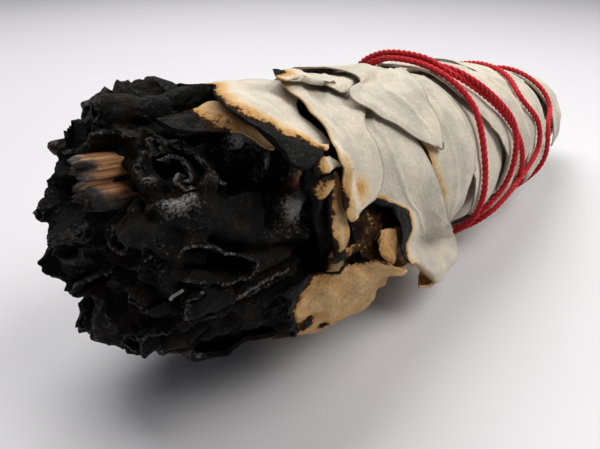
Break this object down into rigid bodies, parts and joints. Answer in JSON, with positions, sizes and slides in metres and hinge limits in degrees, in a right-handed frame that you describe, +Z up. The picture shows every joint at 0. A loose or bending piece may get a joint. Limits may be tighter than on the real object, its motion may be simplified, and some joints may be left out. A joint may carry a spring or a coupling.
{
  "type": "sage bunch",
  "caption": "Tapering bundle of dried sage leaves and stems, bound with crossing turns of red thread, burnt back at its thick end and lying on its side.",
  "frame": {"origin": "on the surface that the bunch rests on, in the flat of its lowest leaf, below the middle line", "axes": "+X along the bunch from the burnt end to the thin tail, +Z up"},
  "size_m": [0.1391, 0.0427, 0.0448],
  "materials": {
    "dry_leaf": "dry felted leaf, pale grey-cream, matt with fine veins",
    "singed_leaf": "leaf toasted tan with brown edges, matt",
    "charred_leaf": "charred leaf, near black with ash-grey wrinkles, low sheen",
    "stem": "dry sage stem, fibrous, scorched brown at its end",
    "thread": "twisted cotton thread, red, matt"
  },
  "bodies": {
    "root": {"leaf_far_tail": "dry_leaf", "leaf_far_mid": "dry_leaf", "leaf_under_burnt": "dry_leaf", "leaf_scorched": "singed_leaf", "leaf_near_gap": "dry_leaf", "leaf_tan_under": "singed_leaf", "leaf_far_burnt": "dry_leaf", "leaf_under_mid": "dry_leaf", "leaf_far_cross": "dry_leaf", "leaf_under_waist": "dry_leaf", "leaf_under_tail": "dry_leaf", "leaf_near_tail": "dry_leaf", "leaf_tan_strip": "singed_leaf", "leaf_far_waist": "dry_leaf", "leaf_rest": "dry_leaf", "leaf_long_flap": "dry_leaf", "leaf_charred_tip": "dry_leaf", "leaf_tail_cross": "dry_leaf", "leaf_near_waist": "dry_leaf", "leaf_folded": "dry_leaf", "leaf_far_top": "dry_leaf", "leaf_pointed": "dry_leaf", "leaf_brown_tip": "dry_leaf", "red_thread": "thread", "stem_1": "stem", "stem_2": "stem", "stem_3": "stem", "stem_4": "stem", "stem_5": "stem", "stem_6": "stem", "packed_leaves": "dry_leaf", "charred_leaves": "charred_leaf"}
  },
  "joints": []
}
